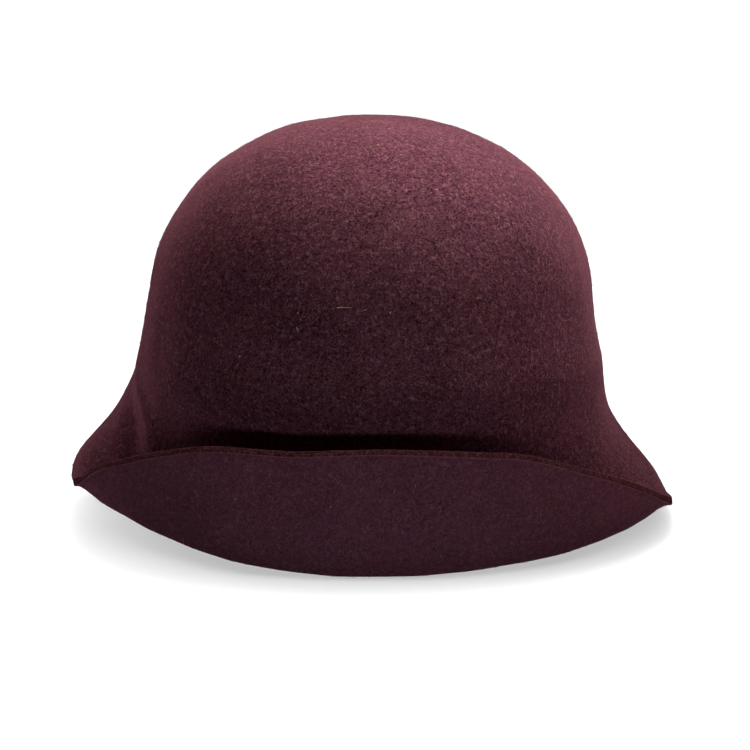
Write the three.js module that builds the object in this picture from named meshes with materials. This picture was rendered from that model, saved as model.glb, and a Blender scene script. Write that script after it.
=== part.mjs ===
import * as THREE from 'three';

// A cloche hat made from one piece of wool felt. It has a round crown and a bell brim that is
// turned down at the sides and back, and turned up at the front as a deep cuff. Millimetres,
// +Z up, front at -Y, the middle of the head over the origin. It stands on the plane Z = 0.

// Felt and crown
const feltThick = 3;
const tipUp = 141;
const headLineUp = 60; // where the crown ends and the brim begins to flare
const headHalfWidth = 82;
const headHalfLength = 99;
const headSquareness = 2.15; // 2 is a true ellipse
const domeDeep = 60; // from the tip down to the side of the crown
const domeShare = 0.932; // the crown's width at the foot of the dome, as a share of the head line's
const domeFullness = 2.1; // 2 is a true ellipse in profile
const sideFlare = 0.068; // the share that the side gains on its way down to the head line
const feltColour = 0x43202a;

// Sections of the brim. Azimuth is in degrees round the head: 0 at the front, 90 towards +X.
// Out is measured from the head line's radius and up from the table, both on the upper face of
// the felt. The brim leaves the head line, passes its break and its fold, and ends at its cut edge.
// A slope is the felt's own direction there, in degrees above level, going outwards.
// What would reach below the table is pressed flat on it.
const brimSections = namedRows(
  ['azimuth', 'breakOut', 'breakUp', 'foldOut', 'foldUp', 'foldSlope', 'edgeOut', 'edgeUp', 'edgeSlope'],
  [
    [-180, 7, 36, 15, 17, -64, 24, -0.4, -66],
    [-120, 7.5, 39, 17, 21, -58, 24.5, 3, -78],
    [-95, 7.8, 40, 21, 23.4, -50, 26.6, 12.2, -84],
    [-86, 7, 39.6, 21.2, 22.8, -46, 24.9, 16.2, -60],
    [-78, 6, 39, 20.2, 22, -38, 24.3, 16.2, -34],
    [-62, 2, 35, 18, 17.3, -12, 24.4, 21.2, 20],
    [-46, -2, 32, 12.5, 12.4, 0, 25.5, 31.8, 46],
    [-20, -5, 29.3, 7.6, 5, 0, 23.1, 42.6, 58],
    [0, -6, 28, 5, 2, 0, 21.5, 42.9, 60],
    [20, -5, 29, 6.5, 3.5, 0, 23.2, 40.7, 56],
    [36, -3.2, 31, 10.5, 5.4, 0, 25, 31.8, 46],
    [50, -1.2, 32.5, 14.2, 7.5, -4, 25.7, 22.8, 33],
    [62, 1.5, 34, 17.5, 9.8, -15, 26, 15.1, 24],
    [78, 3.5, 35, 19.5, 12.5, -46, 25.8, 8.2, 2],
    [95, 4.8, 36, 18.4, 17, -52, 26, 3.5, -76],
    [120, 5.8, 36, 17, 17, -60, 24.5, 0.6, -70],
  ],
);

// The way down the felt is counted in stretches: 0 at the tip, then the end of each stretch below.
const rowsInStretch = { dome: 7, side: 2, flare: 4, turn: 9, cuff: 11 };
const endOfDome = 1;
const endOfSide = 2;
const endOfCuff = 5;
const columnCount = 72;
const cornerCrowding = 0.25; // how much closer the columns stand at the two corners of the brim

// Soft dents and ridges. Each is a bell-shaped push on both faces of the felt, with its middle at
// an azimuth and a way down. Around is its reach in degrees and down its reach in stretches. Lean
// is how many degrees it wanders in one stretch, and out and up are the push in millimetres.
const dents = namedRows(
  ['azimuth', 'way', 'around', 'down', 'lean', 'out', 'up'],
  [
    [-90, 0.72, 35, 0.3, 0, -1.3, 0], // flatter left shoulder of the crown
    [-61.5, 2.8, 4, 0.5, 22, 1.2, 0], // ridge at the left foot of the crown
    [-67.5, 3.15, 6, 0.45, 22, -2.2, 0], // hollow under it, in the wing of the brim
    [-25, 4.5, 5, 0.45, -10, 1.2, 0], // slanting ridge on the cuff
    [-36, 4.5, 7, 0.4, -8, -1.6, 0], // hollow beside it
    [-12, 5, 7, 0.5, 0, 0, -0.8], // dip in the cuff's edge
  ],
);

function namedRows(names, rows) {
  return rows.map((row) => Object.fromEntries(names.map((name, i) => [name, row[i]])));
}

// A cubic from start to end as t goes from 0 to 1, leaving and arriving with the given rates.
function cubic(start, leaving, end, arriving, t) {
  const t2 = t * t;
  const t3 = t2 * t;
  return (2 * t3 - 3 * t2 + 1) * start + (t3 - 2 * t2 + t) * leaving
    + (3 * t2 - 2 * t3) * end + (t3 - t2) * arriving;
}

// A smooth closed curve through one column of the brim's sections, which never overshoots them.
function closedCurve(name) {
  const count = brimSections.length;
  const section = (i) => brimSections[(i + count) % count];
  const azimuth = (i) => section(i).azimuth + 360 * Math.floor(i / count);
  const value = (i) => section(i)[name];
  const width = (i) => azimuth(i + 1) - azimuth(i);
  const rate = (i) => (value(i + 1) - value(i)) / width(i);

  function rateAt(i) {
    if (rate(i - 1) * rate(i) <= 0) return 0;
    const before = 2 * width(i) + width(i - 1);
    const after = width(i) + 2 * width(i - 1);
    return (before + after) / (before / rate(i - 1) + after / rate(i));
  }

  return (angle) => {
    let i = 0;
    while (azimuth(i + 1) <= angle) i += 1;
    const t = (angle - azimuth(i)) / width(i);
    return cubic(value(i), rateAt(i) * width(i), value(i + 1), rateAt(i + 1) * width(i), t);
  };
}

const brimCurves = Object.fromEntries(
  Object.keys(brimSections[0]).slice(1).map((name) => [name, closedCurve(name)]),
);

function wrapped(azimuth) {
  return azimuth - 360 * Math.floor((azimuth + 180) / 360);
}

function headRadius(azimuth) {
  const angle = THREE.MathUtils.degToRad(azimuth);
  const across = Math.abs(Math.sin(angle) / headHalfWidth) ** headSquareness;
  const along = Math.abs(Math.cos(angle) / headHalfLength) ** headSquareness;
  return (across + along) ** (-1 / headSquareness);
}

// The crown's width at a depth under the tip, as a share of its width at the head line.
function crownShare(depth) {
  const above = Math.max(0, 1 - depth / domeDeep);
  const flare = sideFlare * (depth / (tipUp - headLineUp)) ** 3;
  return domeShare * (1 - above ** domeFullness) ** (1 / domeFullness) + flare;
}

function direction(slope) {
  const angle = THREE.MathUtils.degToRad(slope);
  return new THREE.Vector2(Math.cos(angle), Math.sin(angle));
}

// One stretch of the brim's profile, between two points and along a direction at each.
function profileStretch(from, leaving, to, arriving, t) {
  const length = from.distanceTo(to);
  return new THREE.Vector2(
    cubic(from.x, leaving.x * length, to.x, arriving.x * length, t),
    cubic(from.y, leaving.y * length, to.y, arriving.y * length, t),
  );
}

function brimProfile(azimuth, way) {
  const angle = wrapped(azimuth);
  const at = Object.fromEntries(
    Object.entries(brimCurves).map(([name, curve]) => [name, curve(angle)]),
  );
  const radius = headRadius(azimuth);
  const head = new THREE.Vector2(radius, headLineUp);
  const bend = new THREE.Vector2(radius + at.breakOut, at.breakUp);
  const fold = new THREE.Vector2(radius + at.foldOut, at.foldUp);
  const edge = new THREE.Vector2(radius + at.edgeOut, at.edgeUp);
  const sideSlope = (3 * sideFlare * radius) / (tipUp - headLineUp);
  const offHead = new THREE.Vector2(sideSlope, -1).normalize();
  const offBend = fold.clone().sub(head).normalize();
  const offFold = direction(at.foldSlope);
  const offEdge = direction(at.edgeSlope);
  const stretches = [
    [head, offHead, bend, offBend],
    [bend, offBend, fold, offFold],
    [fold, offFold, edge, offEdge],
  ];
  const stretch = Math.min(2, Math.floor(way - endOfSide));
  return profileStretch(...stretches[stretch], way - endOfSide - stretch);
}

function crownProfile(azimuth, way) {
  const depth = way < endOfDome
    ? domeDeep * (1 - Math.cos((way * Math.PI) / 2))
    : domeDeep + (tipUp - headLineUp - domeDeep) * (way - endOfDome);
  return new THREE.Vector2(headRadius(azimuth) * crownShare(depth), tipUp - depth);
}

function bell(x) {
  return Math.exp(-x * x);
}

// A point on the upper face of the felt.
function upperFace(azimuth, way) {
  const profile = way < endOfSide ? crownProfile(azimuth, way) : brimProfile(azimuth, way);
  for (const dent of dents) {
    const aside = wrapped(azimuth - dent.azimuth - dent.lean * (way - dent.way));
    const push = bell(aside / dent.around) * bell((way - dent.way) / dent.down);
    profile.x += dent.out * push;
    profile.y += dent.up * push;
  }
  const angle = THREE.MathUtils.degToRad(azimuth);
  return new THREE.Vector3(profile.x * Math.sin(angle), -profile.x * Math.cos(angle), profile.y);
}

// The direction that the upper face looks in, from small steps around and down.
function outward(azimuth, way) {
  const stepAround = 0.5;
  const stepDown = 0.01;
  const middle = Math.max(way, 2 * stepDown);
  const around = upperFace(azimuth + stepAround, middle).sub(upperFace(azimuth - stepAround, middle));
  const below = Math.min(middle + stepDown, endOfCuff);
  const down = upperFace(azimuth, below).sub(upperFace(azimuth, middle - stepDown));
  return down.cross(around).normalize();
}

// The same point through the felt, on its lower face.
function lowerFace(azimuth, way) {
  return upperFace(azimuth, way).addScaledVector(outward(azimuth, way), -feltThick);
}

// Where the felt rests it is pressed flat on the table.
function pressedFlat(point) {
  return point.setZ(Math.max(0, point.z));
}

function columnAzimuths() {
  return Array.from({ length: columnCount }, (_, i) => {
    const turn = (2 * Math.PI * i) / columnCount - Math.PI;
    return THREE.MathUtils.radToDeg(turn + (cornerCrowding / 2) * Math.sin(2 * turn));
  });
}

function rowWays() {
  return Object.values(rowsInStretch).flatMap((count, stretch) =>
    Array.from({ length: count }, (_, i) => stretch + (i + 1) / count));
}

// Both faces as rings of points under a tip, joined round the cut edge.
function feltGeometry() {
  const azimuths = columnAzimuths();
  const ways = rowWays();
  const positions = [];
  const triangles = [];

  function face(tip, pointAt) {
    const first = positions.length / 3;
    positions.push(0, 0, tip);
    for (const way of ways) {
      for (const azimuth of azimuths) positions.push(...pressedFlat(pointAt(azimuth, way)));
    }
    const vertex = (row, column) => first + 1 + row * columnCount + (column % columnCount);
    return { first, vertex };
  }

  const upper = face(tipUp, upperFace);
  const lower = face(tipUp - feltThick, lowerFace);
  const last = ways.length - 1;

  for (let column = 0; column < columnCount; column += 1) {
    const next = column + 1;
    triangles.push(upper.first, upper.vertex(0, column), upper.vertex(0, next));
    triangles.push(lower.first, lower.vertex(0, next), lower.vertex(0, column));
    for (let row = 0; row < last; row += 1) {
      const quad = (of) => [
        of.vertex(row, column), of.vertex(row + 1, column), of.vertex(row + 1, next), of.vertex(row, next),
      ];
      const [a, b, c, d] = quad(upper);
      triangles.push(a, b, c, a, c, d);
      const [e, f, g, h] = quad(lower);
      triangles.push(e, g, f, e, h, g);
    }
    triangles.push(upper.vertex(last, column), lower.vertex(last, column), lower.vertex(last, next));
    triangles.push(upper.vertex(last, column), lower.vertex(last, next), upper.vertex(last, next));
  }

  const geometry = new THREE.BufferGeometry();
  geometry.setAttribute('position', new THREE.Float32BufferAttribute(positions, 3));
  geometry.setIndex(triangles);
  geometry.computeVertexNormals();
  return geometry;
}

const wool = new THREE.MeshStandardMaterial({ color: feltColour, roughness: 0.95, metalness: 0 });
const feltBody = new THREE.Mesh(feltGeometry(), wool);
feltBody.name = 'felt_body';

const hat = new THREE.Group();
hat.name = 'cloche_hat';
hat.add(feltBody);

export default hat;
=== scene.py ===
import math

import bpy
import numpy as np
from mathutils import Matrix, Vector


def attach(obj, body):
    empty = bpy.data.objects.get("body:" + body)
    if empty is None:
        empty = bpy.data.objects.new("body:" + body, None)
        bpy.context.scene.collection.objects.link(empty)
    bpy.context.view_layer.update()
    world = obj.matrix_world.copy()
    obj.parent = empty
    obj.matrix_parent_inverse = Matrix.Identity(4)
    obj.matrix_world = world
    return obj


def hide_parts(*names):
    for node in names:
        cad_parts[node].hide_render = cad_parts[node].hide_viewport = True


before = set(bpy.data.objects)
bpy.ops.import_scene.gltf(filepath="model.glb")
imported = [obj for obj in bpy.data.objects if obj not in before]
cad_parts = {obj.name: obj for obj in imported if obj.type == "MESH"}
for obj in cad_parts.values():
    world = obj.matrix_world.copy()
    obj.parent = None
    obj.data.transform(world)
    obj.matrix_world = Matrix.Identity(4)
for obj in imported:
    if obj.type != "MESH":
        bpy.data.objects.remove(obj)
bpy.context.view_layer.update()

# A cloche hat in one piece of burgundy wool felt, standing on its turned-up front and the back of
# its brim. Its lengths are written in millimetres and become metres when a mesh is made, and the
# camera's and the lights' are metres. The front is at -Y, azimuth 0, and azimuth 90 is towards +X.

MM = 0.001
rng = np.random.default_rng(11)

# Felt and crown
FELT_THICK = 3
TIP_UP = 141
HEAD_LINE_UP = 60
HEAD_HALF_WIDTH = 82
HEAD_HALF_LENGTH = 99
HEAD_SQUARENESS = 2.15
DOME_DEEP = 60
DOME_SHARE = 0.932
DOME_FULLNESS = 2.1
SIDE_FLARE = 0.068

# Sections of the brim, one row for each azimuth round the head. Out is measured from the head
# line's radius, up from the table, and a slope is the felt's direction going outwards, in degrees.
BRIM_COLUMNS = (
    "azimuth", "break_out", "break_up",
    "fold_out", "fold_up", "fold_slope",
    "edge_out", "edge_up", "edge_slope",
)
BRIM_SECTIONS = np.array([
    (-180, 7, 36, 15, 17, -64, 24, -0.4, -66),
    (-120, 7.5, 39, 17, 21, -58, 24.5, 3, -78),
    (-95, 7.8, 40, 21, 23.4, -50, 26.6, 12.2, -84),
    (-86, 7, 39.6, 21.2, 22.8, -46, 24.9, 16.2, -60),
    (-78, 6, 39, 20.2, 22, -38, 24.3, 16.2, -34),
    (-62, 2, 35, 18, 17.3, -12, 24.4, 21.2, 20),
    (-46, -2, 32, 12.5, 12.4, 0, 25.5, 31.8, 46),
    (-20, -5, 29.3, 7.6, 5, 0, 23.1, 42.6, 58),
    (0, -6, 28, 5, 2, 0, 21.5, 42.9, 60),
    (20, -5, 29, 6.5, 3.5, 0, 23.2, 40.7, 56),
    (36, -3.2, 31, 10.5, 5.4, 0, 25, 31.8, 46),
    (50, -1.2, 32.5, 14.2, 7.5, -4, 25.7, 22.8, 33),
    (62, 1.5, 34, 17.5, 9.8, -15, 26, 15.1, 24),
    (78, 3.5, 35, 19.5, 12.5, -46, 25.8, 8.2, 2),
    (95, 4.8, 36, 18.4, 17, -52, 26, 3.5, -76),
    (120, 5.8, 36, 17, 17, -60, 24.5, 0.6, -70),
])

# Soft dents and ridges: azimuth, way down the felt, reach around in degrees, reach down in
# stretches, lean in degrees a stretch, and the push out and up in millimetres.
DENTS = (
    (-90, 0.72, 35, 0.3, 0, -1.3, 0),
    (-61.5, 2.8, 4, 0.5, 22, 1.2, 0),
    (-67.5, 3.15, 6, 0.45, 22, -2.2, 0),
    (-25, 4.5, 5, 0.45, -10, 1.2, 0),
    (-36, 4.5, 7, 0.4, -8, -1.6, 0),
    (-12, 5, 7, 0.5, 0, 0, -0.8),
)

# Blocking by hand leaves the felt a little uneven: the height and the length of each wave
WAVES = ((0.10, 41), (0.09, 33), (0.08, 27), (0.07, 22), (0.06, 17), (0.05, 14))

# The way down the felt is 0 at the tip and 1 to 5 at the ends of the dome, side, flare, turn and cuff.
ROWS_IN_STRETCH = (36, 8, 16, 22, 26)
END_OF_DOME, END_OF_SIDE, END_OF_CUFF = 1, 2, 5

# The columns of points stand closer together at the brim's two corners
COLUMNS = 384
CORNER_CROWDING = 0.25

# The cut edge: its rows, how far it bulges, how round its section is, how far before it either face
# has its last row but one, and how many rows past a face the felt is all cut
EDGE_ROWS = 6
EDGE_BULGE = 0.5
EDGE_ROUNDNESS = 0.6
ARRIS_WAY = 0.014
ARRIS_ROWS = 2

# Short steps round and down the felt, over which its direction and its measure are found
STEP_AROUND = 0.5
STEP_DOWN = 0.01


def cubic(start, leaving, end, arriving, t):
    t2, t3 = t * t, t * t * t
    held = (2 * t3 - 3 * t2 + 1) * start + (3 * t2 - 2 * t3) * end
    return held + (t3 - 2 * t2 + t) * leaving + (t3 - t2) * arriving


def closed_curve(azimuth, column):
    """A smooth closed curve through one column of the brim's sections, which never overshoots them."""
    at = BRIM_SECTIONS[:, 0]
    values = BRIM_SECTIONS[:, column]
    at = np.concatenate([at[-2:] - 360, at, at[:3] + 360])
    values = np.concatenate([values[-2:], values, values[:3]])
    width = np.diff(at)
    rate = np.diff(values) / width
    rates = np.zeros(len(values))
    for i in range(1, len(values) - 1):
        if rate[i - 1] * rate[i] > 0:
            before = 2 * width[i] + width[i - 1]
            after = width[i] + 2 * width[i - 1]
            rates[i] = (before + after) / (before / rate[i - 1] + after / rate[i])
    i = np.searchsorted(at, azimuth, side="right") - 1
    t = (azimuth - at[i]) / width[i]
    return cubic(values[i], rates[i] * width[i], values[i + 1], rates[i + 1] * width[i], t)


def wrapped(azimuth):
    return (azimuth + 180) % 360 - 180


def head_radius(azimuth):
    angle = np.radians(azimuth)
    across = np.abs(np.sin(angle) / HEAD_HALF_WIDTH) ** HEAD_SQUARENESS
    along = np.abs(np.cos(angle) / HEAD_HALF_LENGTH) ** HEAD_SQUARENESS
    return (across + along) ** (-1 / HEAD_SQUARENESS)


def crown_share(depth):
    above = np.maximum(0, 1 - depth / DOME_DEEP)
    flare = SIDE_FLARE * (depth / (TIP_UP - HEAD_LINE_UP)) ** 3
    return DOME_SHARE * (1 - above ** DOME_FULLNESS) ** (1 / DOME_FULLNESS) + flare


def direction(slope):
    return np.array([np.cos(np.radians(slope)), np.sin(np.radians(slope))])


def profile(azimuth, way):
    """Radius and height of the felt's upper face, before its dents."""
    radius = head_radius(azimuth)
    rise = TIP_UP - HEAD_LINE_UP
    on_dome = DOME_DEEP * (1 - np.cos(np.clip(way, 0, END_OF_DOME) * np.pi / 2))
    on_side = (rise - DOME_DEEP) * np.clip(way - END_OF_DOME, 0, 1)
    depth = on_dome + on_side
    at = {name: closed_curve(wrapped(azimuth), i) for i, name in enumerate(BRIM_COLUMNS) if i}
    head = np.array([radius, np.full_like(radius, HEAD_LINE_UP)])
    bend = np.array([radius + at["break_out"], at["break_up"]])
    fold = np.array([radius + at["fold_out"], at["fold_up"]])
    edge = np.array([radius + at["edge_out"], at["edge_up"]])
    off_head = np.array([3 * SIDE_FLARE * radius / rise, -np.ones_like(radius)])
    off_head /= np.hypot(*off_head)
    off_bend = (fold - head) / np.hypot(*(fold - head))
    off_fold, off_edge = direction(at["fold_slope"]), direction(at["edge_slope"])
    stretches = (
        (head, off_head, bend, off_bend),
        (bend, off_bend, fold, off_fold),
        (fold, off_fold, edge, off_edge),
    )
    found = np.array([radius * crown_share(depth), TIP_UP - depth])
    for i, (start, leaving, end, arriving) in enumerate(stretches):
        length = np.hypot(*(end - start))
        t = np.clip(way - END_OF_SIDE - i, 0, 1)
        here = cubic(start, leaving * length, end, arriving * length, t)
        found = np.where(way > END_OF_SIDE + i, here, found)
    return found


def random_directions(count):
    found = rng.normal(size=(count, 3))
    return found / np.linalg.norm(found, axis=-1, keepdims=True)


wave_directions = random_directions(len(WAVES))
wave_starts = rng.uniform(0, 2 * np.pi, len(WAVES))


def unevenness(points):
    push = 0
    for (height, length), way_on, start in zip(WAVES, wave_directions, wave_starts):
        push = push + height * np.sin(points @ way_on * 2 * np.pi / length + start)
    return push


def upper_face(azimuth, way):
    radius, up = profile(azimuth, way)
    for at, way_at, around, down, lean, push_out, push_up in DENTS:
        aside = wrapped(azimuth - at - lean * (way - way_at))
        push = np.exp(-(aside / around) ** 2 - ((way - way_at) / down) ** 2)
        radius = radius + push_out * push
        up = up + push_up * push
    angle = np.radians(azimuth)
    points = np.stack([radius * np.sin(angle), -radius * np.cos(angle), up], axis=-1)
    ray = points - (0, 0, HEAD_LINE_UP)
    ray /= np.linalg.norm(ray, axis=-1, keepdims=True)
    return points + ray * unevenness(points)[..., None]


def outward(azimuth, way):
    """The direction that the upper face looks in."""
    middle = np.maximum(way, 2 * STEP_DOWN)
    around = upper_face(azimuth + STEP_AROUND, middle) - upper_face(azimuth - STEP_AROUND, middle)
    below = np.minimum(middle + STEP_DOWN, END_OF_CUFF)
    down = upper_face(azimuth, below) - upper_face(azimuth, middle - STEP_DOWN)
    normal = np.cross(down, around)
    return normal / np.linalg.norm(normal, axis=-1, keepdims=True)


def felt_points():
    """Rings of points down the upper face, round the cut edge and back up the lower face, and how many
    of them are on either face."""
    turn = np.linspace(-np.pi, np.pi, COLUMNS, endpoint=False)
    azimuths = np.degrees(turn + CORNER_CROWDING / 2 * np.sin(2 * turn))
    ways = np.concatenate([i + np.arange(1, n + 1) / n for i, n in enumerate(ROWS_IN_STRETCH)])
    ways = np.concatenate([ways[:-1], (END_OF_CUFF - ARRIS_WAY, END_OF_CUFF)])
    azimuth, way = np.meshgrid(azimuths, ways)
    upper = upper_face(azimuth, way)
    normal = outward(azimuth, way)
    lower = upper - normal * FELT_THICK
    middle = (upper[-1] + lower[-1]) / 2
    past = upper[-1] - upper[-2]
    past /= np.linalg.norm(past, axis=-1, keepdims=True)
    rings = [upper]
    for angle in np.pi * np.arange(1, EDGE_ROWS) / EDGE_ROWS:
        across = np.copysign(abs(math.cos(angle)) ** EDGE_ROUNDNESS, math.cos(angle)) * FELT_THICK / 2
        out = math.sin(angle) ** EDGE_ROUNDNESS * EDGE_BULGE
        rings.append((middle + normal[-1] * across + past * out)[None])
    rings.append(lower[::-1])
    points = np.concatenate(rings)
    points[..., 2] = np.maximum(points[..., 2], 0)
    return points, len(ways)


def new_object(name, vertices, faces):
    mesh = bpy.data.meshes.new(name)
    mesh.from_pydata(vertices, [], faces)
    mesh.validate()
    mesh.update()
    mesh.shade_smooth()
    made = bpy.data.objects.new(name, mesh)
    bpy.context.scene.collection.objects.link(made)
    return made


def felt_shell():
    points, face_rows = felt_points()
    rings = len(points)
    vertices = [(0, 0, TIP_UP * MM), (0, 0, (TIP_UP - FELT_THICK) * MM)]
    vertices += [tuple(p) for p in points.reshape(-1, 3) * MM]

    def vertex(ring, column):
        return 2 + ring * COLUMNS + column % COLUMNS

    faces = []
    for column in range(COLUMNS):
        faces.append((0, vertex(0, column), vertex(0, column + 1)))
        for ring in range(rings - 1):
            faces.append((
                vertex(ring, column),
                vertex(ring + 1, column),
                vertex(ring + 1, column + 1),
                vertex(ring, column + 1),
            ))
        faces.append((1, vertex(rings - 1, column + 1), vertex(rings - 1, column)))
    shell = new_object("hat_felt", vertices, faces)
    ring = np.arange(rings)
    rows_past_a_face = EDGE_ROWS / 2 - abs(ring - (face_rows + EDGE_ROWS / 2 - 1))
    keep(shell, "cut_edge", np.clip(rows_past_a_face / ARRIS_ROWS, 0, 1), (0, 0))
    keep(shell, "upper_face", ring < face_rows + EDGE_ROWS / 2, (1, 0))
    return shell


def keep(shell, name, by_ring, at_tips):
    """A value for each ring of the shell, kept as an attribute of its points."""
    values = np.concatenate([at_tips, np.repeat(by_ring, COLUMNS)])
    held = shell.data.attributes.new(name, "FLOAT", "POINT")
    held.data.foreach_set("value", values.astype(np.float32))


def near_felt(azimuth, way, height, face):
    """Points at a height over the upper face where face is 1, and under the lower one where it is -1."""
    over = np.where(face > 0, height, -FELT_THICK - height)
    return upper_face(azimuth, way) + outward(azimuth, way) * over[..., None]


# A degree and a stretch of the felt count for at least this many millimetres, also near the tip
LEAST_MEASURE = 0.2


def per_degree_and_way(azimuth, way):
    """How many millimetres a degree round the felt and a stretch down it measure."""
    around = upper_face(azimuth + STEP_AROUND, way) - upper_face(azimuth, way)
    start = np.minimum(way, END_OF_CUFF - STEP_DOWN)
    down = upper_face(azimuth, start + STEP_DOWN) - upper_face(azimuth, start)
    length = np.linalg.norm(around, axis=-1) / STEP_AROUND, np.linalg.norm(down, axis=-1) / STEP_DOWN
    return np.maximum(length, LEAST_MEASURE)


# Loose fibres: how many lie on the two faces and along the cut edge, the points along one, the way
# that they keep off the tip, and the parts of a half circle where their arch starts and that it spans
NAP_COUNT = 8000
EDGE_COUNT = 2600
FIBRE_STEPS = 4
TIP_WAY = 0.02
ARCH_START, ARCH_SPAN = 0.1, 0.75

# A fibre's far end has this share of its thickness, and none dips under this height in millimetres.
# Its three sides are laid out from a direction that it seldom follows.
FIBRE_TAPER = 0.55
LOWEST_FIBRE = 0.02
ASKEW = (0.31, 0.52, 0.79)


def fibre_paths(azimuth, way, face, length, heading, curl, lift, steps):
    """Paths that curl along the felt and arch over it, one row for each fibre."""
    along = np.linspace(0, 1, steps)[None, :]
    angle = heading[:, None] + curl[:, None] * along
    stride = length[:, None] / (steps - 1)
    first = np.zeros((len(azimuth), 1))
    east = np.hstack([first, np.cumsum(np.cos(angle[:, 1:]) * stride, axis=1)])
    south = np.hstack([first, np.cumsum(np.sin(angle[:, 1:]) * stride, axis=1)])
    a_degree, a_stretch = per_degree_and_way(azimuth, way)
    azimuths = azimuth[:, None] + east / a_degree[:, None]
    ways = np.clip(way[:, None] + south / a_stretch[:, None], TIP_WAY, END_OF_CUFF)
    height = lift[:, None] * np.sin(np.pi * (ARCH_START + ARCH_SPAN * along))
    faces = np.broadcast_to(face[:, None], azimuths.shape)
    return near_felt(azimuths, ways, height, faces)


def strands(name, paths, thick):
    """Closed three-sided fibres in one mesh, tapering along their paths to a point."""
    count, steps, _ = paths.shape
    run = np.gradient(paths, axis=1)
    run /= np.linalg.norm(run, axis=-1, keepdims=True)
    side = np.cross(run, ASKEW)
    side /= np.linalg.norm(side, axis=-1, keepdims=True)
    third = np.cross(run, side)
    radius = thick[:, None, None] / 2 * np.linspace(1, FIBRE_TAPER, steps)[None, :, None]
    corners = []
    for turn in np.arange(3) * 2 * np.pi / 3:
        corners.append(paths + radius * (np.cos(turn) * side + np.sin(turn) * third))
    rings = np.stack(corners, axis=2).reshape(count, steps * 3, 3)
    tips = paths[:, -1:] + run[:, -1:] * thick[:, None, None]
    points = np.concatenate([rings, tips], axis=1)
    one = [(2, 1, 0)]
    for ring in range(steps - 1):
        for k in range(3):
            a, b = ring * 3 + k, ring * 3 + (k + 1) % 3
            one.append((a, b, b + 3, a + 3))
    last = (steps - 1) * 3
    one += [(last + k, last + (k + 1) % 3, last + 3) for k in range(3)]
    size = points.shape[1]
    faces = [tuple(corner + fibre * size for corner in face) for fibre in range(count) for face in one]
    points[..., 2] = np.maximum(points[..., 2], LOWEST_FIBRE)
    return new_object(name, (points * MM).reshape(-1, 3), faces)


def loose_fibres(name, azimuth, way, on_upper, length, curl, lift, thick):
    """Fibres from the given places, a share of them on the upper face. Length is the shape and scale
    of a gamma spread, curl is a spread in radians, and lift and thick are the least and the most."""
    count = len(azimuth)
    face = np.where(rng.uniform(0, 1, count) < on_upper, 1, -1)
    lengths = rng.gamma(*length, count)
    headings = rng.uniform(0, 2 * np.pi, count)
    bends = rng.normal(0, curl, count)
    lifts = rng.uniform(*lift, count)
    paths = fibre_paths(azimuth, way, face, lengths, headings, bends, lifts, FIBRE_STEPS)
    return strands(name, paths, rng.uniform(*thick, count))


def nap():
    """Fibres strewn evenly over both faces: a place is kept more often where its patch is larger."""
    tries, eagerness = NAP_COUNT * 6, 1.5
    azimuth = rng.uniform(-180, 180, tries)
    way = rng.uniform(0.05, END_OF_CUFF, tries)
    a_degree, a_stretch = per_degree_and_way(azimuth, way)
    area = a_degree * a_stretch
    kept = np.flatnonzero(rng.uniform(0, 1, tries) < area / area.max() * eagerness)[:NAP_COUNT]
    return loose_fibres(
        "felt_nap", azimuth[kept], way[kept],
        on_upper=0.6, length=(6, 0.42), curl=1.6, lift=(0.04, 0.28), thick=(0.06, 0.12),
    )


def edge_fibres():
    azimuth = rng.uniform(-180, 180, EDGE_COUNT)
    way = END_OF_CUFF - rng.gamma(1.2, 0.01, EDGE_COUNT)
    return loose_fibres(
        "edge_nap", azimuth, way,
        on_upper=0.5, length=(5, 0.2), curl=2.0, lift=(0.02, 0.2), thick=(0.06, 0.13),
    )


# Stray bits on the felt: thickness, height over it, and their azimuths and ways. Those on the front
# of the cuff lie on the felt's lower face, the others on its upper one.
STRAW = (
    (0.42, 0.16, ((-6.2, 0.971), (-4.9, 0.970), (-3.5, 0.971))),
)
CROWN_LINT = (
    (0.42, 0.14, ((-14.0, 1.18), (-13.8, 1.20), (-13.6, 1.23))),
    (0.50, 0.12, ((-25.9, 1.66), (-25.7, 1.665))),
    (0.30, 0.10, ((-19.3, 1.73), (-19.1, 1.735))),
    (0.32, 0.10, ((3.9, 0.99), (4.1, 0.985))),
    (0.28, 0.10, ((-13.9, 0.99), (-13.7, 0.995))),
    (0.16, 0.10, ((-12.6, 1.01), (-12.3, 1.02))),
    (0.13, 0.10, ((-1.6, 0.982), (-1.1, 0.980), (-0.5, 0.976))),
)
CUFF_LINT = (
    (0.30, 0.12, ((-5.9, 4.64), (-5.7, 4.645))),
    (0.26, 0.12, ((-20.3, 4.64), (-20.1, 4.645))),
    (0.22, 0.12, ((-5.6, 4.42), (-5.4, 4.425))),
    (0.24, 0.12, ((-8.3, 3.54), (-8.1, 3.545))),
    (0.28, 0.12, ((54.9, 3.51), (55.1, 3.515))),
    (0.28, 0.12, ((58.1, 3.62), (58.3, 3.625))),
)
CUFF_HAIRS = (
    (0.12, 0.12, ((-6.0, 4.86), (-5.4, 4.845), (-4.9, 4.82), (-4.5, 4.79))),
    (0.12, 0.10, ((-24.9, 3.67), (-24.6, 3.70), (-24.2, 3.70), (-24.0, 3.67), (-24.2, 3.64), (-24.7, 3.64))),
    (0.11, 0.10, ((-33.1, 3.80), (-33.0, 3.84), (-32.6, 3.87))),
    (0.12, 0.12, ((-31.5, 4.24), (-32.4, 4.15), (-33.4, 4.05), (-34.0, 3.97))),
    (0.13, 0.12, ((6.8, 4.78), (6.7, 4.76), (6.5, 4.74))),
    (0.13, 0.12, ((3.8, 4.75), (3.7, 4.735), (3.5, 4.72))),
)
STRAY_STEPS = 9


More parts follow.
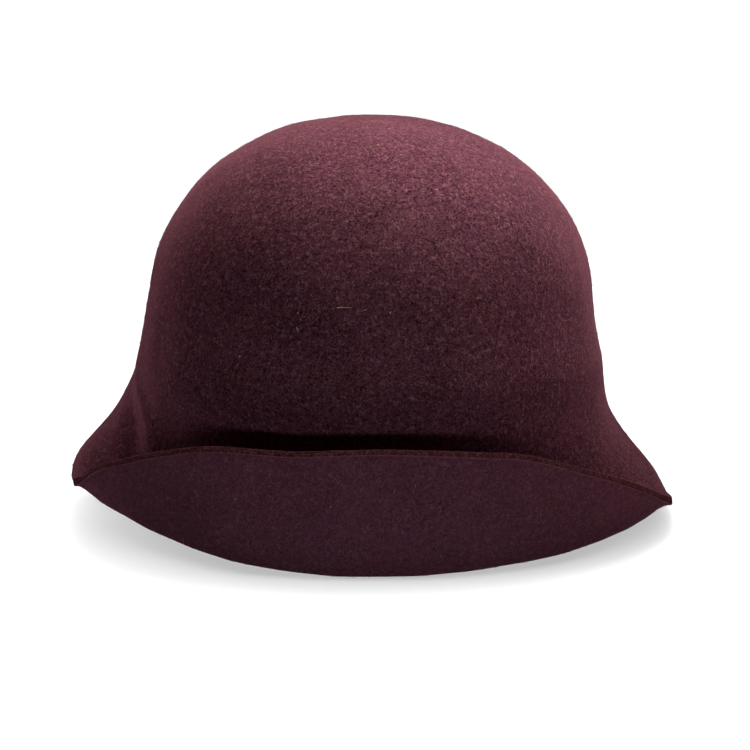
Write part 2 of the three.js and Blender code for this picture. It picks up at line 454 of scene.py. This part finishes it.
def stray_path(height, spots, face):
    spots = np.array(spots)
    along = np.linspace(0, 1, len(spots))
    t = np.linspace(0, 1, STRAY_STEPS)
    azimuth, way = (np.interp(t, along, spots[:, i]) for i in (0, 1))
    path = near_felt(azimuth, way, np.full(STRAY_STEPS, height), np.full(STRAY_STEPS, face))
    smooth = path.copy()
    smooth[1:-1] = (path[:-2] + 2 * path[1:-1] + path[2:]) / 4
    return smooth


def strays(name, bits, face):
    paths = np.array([stray_path(height, spots, face) for _, height, spots in bits])
    return strands(name, paths, np.array([thick for thick, _, _ in bits]))


class Link:
    """A socket of a material's nodes. Arithmetic on it adds Math nodes."""

    def __init__(self, tree, socket=None):
        self.tree = tree
        self.socket = socket

    def make(self, kind, settings=None, values=None, output=0):
        """A new node, with its settings and then the values or links of its sockets."""
        node = self.tree.nodes.new(kind)
        for name, value in (settings or {}).items():
            setattr(node, name, value)
        for name, value in (values or {}).items():
            if isinstance(value, Link):
                self.tree.links.new(value.socket, node.inputs[name])
            else:
                node.inputs[name].default_value = value
        return Link(self.tree, node.outputs[output]) if len(node.outputs) else node

    def maths(self, operation, *others):
        return self.make("ShaderNodeMath", {"operation": operation}, dict(enumerate((self, *others))))

    def __add__(self, other):
        return self.maths("ADD", other)

    __radd__ = __add__

    def __mul__(self, other):
        return self.maths("MULTIPLY", other)

    __rmul__ = __mul__

    def __sub__(self, other):
        return self.maths("SUBTRACT", other)

    def __rsub__(self, other):
        return (self * -1) + other

    def __abs__(self):
        return self.maths("ABSOLUTE")

    def between(self, low, high):
        """0 below low and 1 above high, smooth in between."""
        settings = {"interpolation_type": "SMOOTHSTEP"}
        return self.make("ShaderNodeMapRange", settings, {"Value": self, "From Min": low, "From Max": high})

    def tinted(self, start, end):
        """A colour from start, where this is 0, to end, where it is 1. Either may be a link."""
        values = {0: self}
        for place, colour in ((6, start), (7, end)):
            values[place] = colour if isinstance(colour, Link) else (*colour, 1)
        return self.make("ShaderNodeMix", {"data_type": "RGBA"}, values, output=2)


def noise(where, size, detail, distortion=0):
    """Noise whose lumps are about size millimetres across."""
    values = {"Vector": where, "Scale": 1 / (size * MM), "Detail": detail, "Distortion": distortion}
    return where.make("ShaderNodeTexNoise", {}, values)


def curls(where, size, width):
    """Thin curling fibres: the places where a noise crosses its middle value."""
    return 1 - abs(noise(where, size, 1, 0.8) - 0.5).between(0, width)


# Wool felt colours, linear
FELT_DARK = (0.006, 0.0016, 0.0024)
FELT_LIGHT = (0.270, 0.0850, 0.1160)
FELT_BROWN = (1.0, 0.96, 0.93)
FELT_PLUM = (1.0, 0.92, 1.03)
FIBRE_LIGHT = (0.42, 0.170, 0.210)
# The cut edge's colours are darker than the faces', partly the raw cut's own colour and partly painted shade
EDGE_DARK = (0.030, 0.0075, 0.0095)
EDGE_PALE = (0.135, 0.0390, 0.0480)
# The painted highlight along the cut edge's arrises
ARRIS_PAINTED_HIGHLIGHT = (0.240, 0.0800, 0.0900)

# The two colours that each kind of fibre varies between, and the straw's span of X in millimetres
LOOSE_FIBRE = ((0.12, 0.038, 0.050), (0.30, 0.115, 0.145))
STRAW_PALE_TO_ORANGE = ((0.95, 0.80, 0.62), (0.85, 0.36, 0.16))
STRAW_SPAN = (-12.5, -8.5)
LINT = ((0.62, 0.42, 0.38), (0.95, 0.75, 0.68))
HAIR = ((0.55, 0.33, 0.35), (0.80, 0.56, 0.56))

# The felt's tone runs from 0, its darkest, to 1. The lower face, turned up in the cuff, is painted paler
# than the upper one, as painted light thrown up onto it from below, and was brushed less, so it varies less.
UPPER_TONE = 0.32
LOWER_TONE_WITH_PAINTED_LIGHT = 0.60
LEAST_TONE = 0.02
LOWER_CONTRAST = 0.92

# Lumps of wool: the size in millimetres, detail and distortion of their noise, and how much they
# change the tone of the two faces, that of the cut edge, and the faces' relief
LUMPS = {
    "clouds": (18, 2, 0, 0.20, 0, 0),
    "mottle": (2.6, 2, 0, 0.22, 0, 0.2),
    "grain": (0.9, 1, 0.5, 0.55, 2.6, 0.5),
    "fine": (0.46, 0, 0.5, 0.75, 1.6, 0.3),
}
IN_FACES, IN_CUT, IN_RELIEF = 3, 4, 5

# The brushed nap, in curls of three sizes and widths, which together come to about NAP_MIDDLE
NAP_CURLS = ((1.5, 0.09), (1.05, 0.10), (0.75, 0.11))
NAP_MIDDLE = 1.1
NAP_STRENGTH = 0.075

# How strongly the pale fibres show in the faces, the cut edge and the relief, how strongly the painted
# highlight, a pale red line, shows on the arrises, and the cut edge's middle tone
FIBRES_IN_FACES = 0.5
FIBRES_IN_CUT = 0.6
FIBRES_IN_RELIEF = 0.3
ARRIS_HIGHLIGHT_STRENGTH = 0.8
CUT_TONE = 0.25
CUT_GRAIN_RELIEF = 1.5

# The relief's height in millimetres. Wool has no gloss, only the sheen of its fibres, and the cut
# edge has less of it.
RELIEF_HIGH = 0.4
SHEEN_TINT = (0.85, 0.30, 0.37)
FACE_SHEEN = 0.28
EDGE_SHEEN = 0.05


def new_material(name):
    """An empty material, a link to start its nodes from, and the place on the object."""
    material = bpy.data.materials.new(name)
    material.use_nodes = True
    material.node_tree.nodes.clear()
    start = Link(material.node_tree)
    return material, start, start.make("ShaderNodeTexCoord", output=3)


def felt_shader(start, colour, height, sheen):
    relief = {"Strength": 0.6, "Distance": RELIEF_HIGH * MM, "Height": height}
    return start.make("ShaderNodeBsdfPrincipled", {}, {
        "Base Color": colour,
        "Roughness": 0.95,
        "Specular IOR Level": 0,
        "Sheen Weight": sheen,
        "Sheen Roughness": 0.35,
        "Sheen Tint": (*SHEEN_TINT, 1),
        "Normal": start.make("ShaderNodeBump", {}, relief),
    })


def lumpy(lumps, column):
    """All the lumps about their middle, each as strong as it is in that column."""
    return sum((lumps[name] - 0.5) * row[column] for name, row in LUMPS.items() if row[column])


def felt_colour(where, upper, lumps, fibres):
    """The colour of the two faces, with a cast that drifts between brown and plum, and the lower face
    painted paler as painted light from below.
    """
    nap = sum(curls(where, size, width) for size, width in NAP_CURLS)
    change = lumpy(lumps, IN_FACES) + (nap - NAP_MIDDLE) * NAP_STRENGTH
    contrast = LOWER_CONTRAST + upper * (1 - LOWER_CONTRAST)
    # The lower face's paler tone is painted light from below.
    tone = LOWER_TONE_WITH_PAINTED_LIGHT - upper * (LOWER_TONE_WITH_PAINTED_LIGHT - UPPER_TONE) + change * contrast
    colour = tone.maths("MAXIMUM", LEAST_TONE).maths("MINIMUM", 1).tinted(FELT_DARK, FELT_LIGHT)
    cast = noise(where, 6, 3).between(0.35, 0.65).tinted(FELT_BROWN, FELT_PLUM)
    colour = where.make("ShaderNodeVectorMath", {"operation": "MULTIPLY"}, {0: colour, 1: cast})
    return (fibres * FIBRES_IN_FACES * contrast).tinted(colour, FIBRE_LIGHT)


def felt_material():
    material, start, where = new_material("wool_felt")
    cut_edge = start.make("ShaderNodeAttribute", {"attribute_name": "cut_edge"}, output=2)
    upper = start.make("ShaderNodeAttribute", {"attribute_name": "upper_face"}, output=2)
    lumps = {name: noise(where, *row[:IN_FACES]) for name, row in LUMPS.items()}
    scattered = noise(where, 1.8, 1).between(0.44, 0.60)
    fibres = curls(where, 1.2, 0.05) * scattered

    # A painted highlight, a pale red line in patches, runs along both arrises of the cut edge, where they
    # catch the light.
    arris_highlight = (1 - abs(cut_edge - 0.5).between(0.1, 0.48)) * noise(where, 2.2, 2).between(0.25, 0.6)
    colour = (arris_highlight * ARRIS_HIGHLIGHT_STRENGTH).tinted(felt_colour(where, upper, lumps, fibres), ARRIS_PAINTED_HIGHLIGHT)
    face = felt_shader(start, colour, lumpy(lumps, IN_RELIEF) + fibres * FIBRES_IN_RELIEF, FACE_SHEEN)

    # The cut edge is a coarse mix of dark hollows and pale wool, painted darker than the faces all round:
    # partly the raw cut's own colour, partly painted shade standing in for the crown's shadow on the front
    # lip.
    cut = CUT_TONE + lumpy(lumps, IN_CUT) + fibres * FIBRES_IN_CUT
    cut_colour = cut.maths("MAXIMUM", 0).maths("MINIMUM", 1).tinted(EDGE_DARK, EDGE_PALE)
    edge = felt_shader(start, cut_colour, lumps["grain"] * CUT_GRAIN_RELIEF + fibres, EDGE_SHEEN)
    shader = start.make("ShaderNodeMixShader", {}, {0: cut_edge.between(0.55, 0.85), 1: face, 2: edge})
    start.make("ShaderNodeOutputMaterial", {}, {"Surface": shader})
    return material


def fibre_material(name, first, last, span=None):
    """Single fibres between two colours: across a span of X, in millimetres, or else in patches."""
    material, start, where = new_material(name)
    if span:
        x = start.make("ShaderNodeSeparateXYZ", {}, {0: where})
        change = x.between(span[0] * MM, span[1] * MM)
    else:
        change = noise(where, 1.5, 1).between(0.35, 0.65)
    shader = start.make("ShaderNodeBsdfPrincipled", {}, {
        "Base Color": change.tinted(first, last),
        "Roughness": 0.7,
        "Specular IOR Level": 0.05,
    })
    start.make("ShaderNodeOutputMaterial", {}, {"Surface": shader})
    return material


# The photo's view: the camera looks along +Y, a little down, at a point inside the hat. The frame's
# width is that of the view at that point, and the sensor's is in millimetres. The camera sees from
# the nearest to the farthest distance.
CAMERA_FAR = 0.8
CAMERA_RAISED = 8.6
CAMERA_AIM = Vector((0.0018, 0, 0.048))
FRAME_WIDE = 0.27
SENSOR_WIDE = 36
NEAREST, FARTHEST = 0.01, 200


def add_camera():
    camera = bpy.data.objects.new("camera", bpy.data.cameras.new("camera"))
    bpy.context.scene.collection.objects.link(camera)
    raised = math.radians(CAMERA_RAISED)
    back = Vector((0, -math.cos(raised), math.sin(raised)))
    camera.location = CAMERA_AIM + back * CAMERA_FAR
    camera.rotation_euler = (-back).to_track_quat("-Z", "Y").to_euler()
    camera.data.sensor_width = SENSOR_WIDE
    camera.data.lens = SENSOR_WIDE * CAMERA_FAR / FRAME_WIDE
    camera.data.clip_start, camera.data.clip_end = NEAREST, FARTHEST
    bpy.context.scene.camera = camera


# How far the floor reaches each way, in metres, and how far it lies under the hat, in millimetres
FLOOR_REACH = 60
FLOOR_DROP = 0.2
FLOOR_PALE = (0.88, 0.88, 0.88)


def floor_material():
    material, start, _ = new_material("pale_floor")
    shader = start.make("ShaderNodeBsdfPrincipled", {}, {
        "Base Color": (*FLOOR_PALE, 1),
        "Roughness": 0.9,
        "Specular IOR Level": 0.1,
    })
    start.make("ShaderNodeOutputMaterial", {}, {"Surface": shader})
    return material


def add_floor():
    """A pale floor that throws no light back on the hat: the low panels do that."""
    corners = [(x * FLOOR_REACH, y * FLOOR_REACH, 0) for x, y in ((-1, -1), (1, -1), (1, 1), (-1, 1))]
    floor = new_object("floor", corners, [(0, 1, 2, 3)])
    floor.data.materials.append(floor_material())
    floor.location.z = -FLOOR_DROP * MM
    floor.visible_diffuse = False
    return floor


# Soft panels, in metres: place, aim, width, height, power and tint. The three overhead are close to
# the crown, so their light fades down it. The low ones stand for what a pale table and the room
# throw back.
LIGHTS = {
    "overhead": ((0.05, 0.0, 0.22), (0, 0, 0.09), 0.16, 0.16, 0.20, (1, 1.15, 1.15)),
    "overhead_left": ((-0.06, 0.0, 0.22), (0, 0, 0.09), 0.16, 0.16, 0.09, (1, 0.9, 0.8)),
    "overhead_front": ((0.05, -0.07, 0.22), (0, 0, 0.09), 0.16, 0.16, 0.185, (1, 1.1, 1)),
    "front_low": ((0, -0.9, 0.02), (0, 0, 0.02), 1.0, 0.04, 1.26, (1, 1.17, 1.28)),
    "table_front": ((0, -0.32, 0.001), (0, -0.32, 1), 0.35, 0.35, 0.03, (1, 1, 1)),
    "table_corner": ((0.3, -0.3, 0.01), (0, 0, 0.03), 0.2, 0.05, 0.06, (1, 1, 1.1)),
    "table_right": ((0.32, 0, 0.001), (0.32, 0, 1), 0.35, 0.35, 0.63, (1, 0.88, 0.95)),
    "table_left": ((-0.32, 0, 0.001), (-0.32, 0, 1), 0.35, 0.35, 0.27, (1, 0.92, 1.15)),
    "table_back": ((0, 0.36, 0.001), (0, 0.36, 1), 0.35, 0.35, 0.50, (1, 1, 1)),
    "left_behind": ((-0.3, 0.2, 0.04), (0, 0, 0.05), 0.2, 0.2, 0.65, (1, 1, 1)),
    "right_behind": ((0.3, 0.3, 0.04), (0, 0, 0.05), 0.2, 0.1, 0.33, (1, 0.9, 0.9)),
    "back_low": ((0, 0.9, 0.10), (0, 0, 0.05), 1.0, 0.2, 1.2, (1, 1, 1)),
}

# Suns that shine on the floor alone: power, spread in degrees, and whether the hat shades them
SUNS = {
    "over_the_floor": (2.2, 110, True),
    "floor_glow": (1.7, 0, False),
}


def lit_alone(light, piece):
    """The light shines on one piece and no other."""
    group = bpy.data.collections.new(light.name + "_on")
    group.objects.link(piece)
    light.light_linking.receiver_collection = group


def add_light(name, kind, place, aim, power, **settings):
    light = bpy.data.objects.new(name, bpy.data.lights.new(name, kind))
    light.data.energy = power
    for key, value in settings.items():
        setattr(light.data, key, value)
    light.location = place
    light.rotation_euler = (Vector(aim) - Vector(place)).to_track_quat("-Z", "Y").to_euler()
    light.visible_camera = False
    bpy.context.scene.collection.objects.link(light)
    return light


def add_studio(floor):
    world = bpy.data.worlds.new("studio")
    bpy.context.scene.world = world
    world.use_nodes = True
    world.node_tree.nodes["Background"].inputs["Color"].default_value = (1, 1, 1, 1)
    # The white surroundings are only seen: they light nothing.
    world.cycles_visibility.diffuse = False
    world.cycles_visibility.glossy = False
    for name, (place, aim, width, height, power, tint) in LIGHTS.items():
        panel = {"shape": "RECTANGLE", "size": width, "size_y": height, "color": tint}
        add_light(name, "AREA", place, aim, power, **panel)
    for name, (power, spread, shaded) in SUNS.items():
        sun = {"angle": math.radians(spread), "use_shadow": shaded}
        lit_alone(add_light(name, "SUN", (0, 0, 1), (0, 0, 0), power, **sun), floor)
    bpy.context.scene.view_settings.view_transform = "Standard"


felt = felt_shell()
felt.data.materials.append(felt_material())
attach(felt, "root")
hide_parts("felt_body")

loose_fibre = fibre_material("loose_fibre", *LOOSE_FIBRE)
for fibres in (nap(), edge_fibres()):
    fibres.data.materials.append(loose_fibre)
    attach(fibres, "root")

straw = fibre_material("straw", *STRAW_PALE_TO_ORANGE, span=STRAW_SPAN)
lint = fibre_material("lint", *LINT)
hair = fibre_material("hair", *HAIR)
for name, bits, face, material in (
    ("straw_bit", STRAW, 1, straw),
    ("crown_lint", CROWN_LINT, 1, lint),
    ("cuff_lint", CUFF_LINT, -1, lint),
    ("cuff_hairs", CUFF_HAIRS, -1, hair),
):
    stray = strays(name, bits, face)
    stray.data.materials.append(material)
    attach(stray, "root")

add_studio(add_floor())
add_camera()
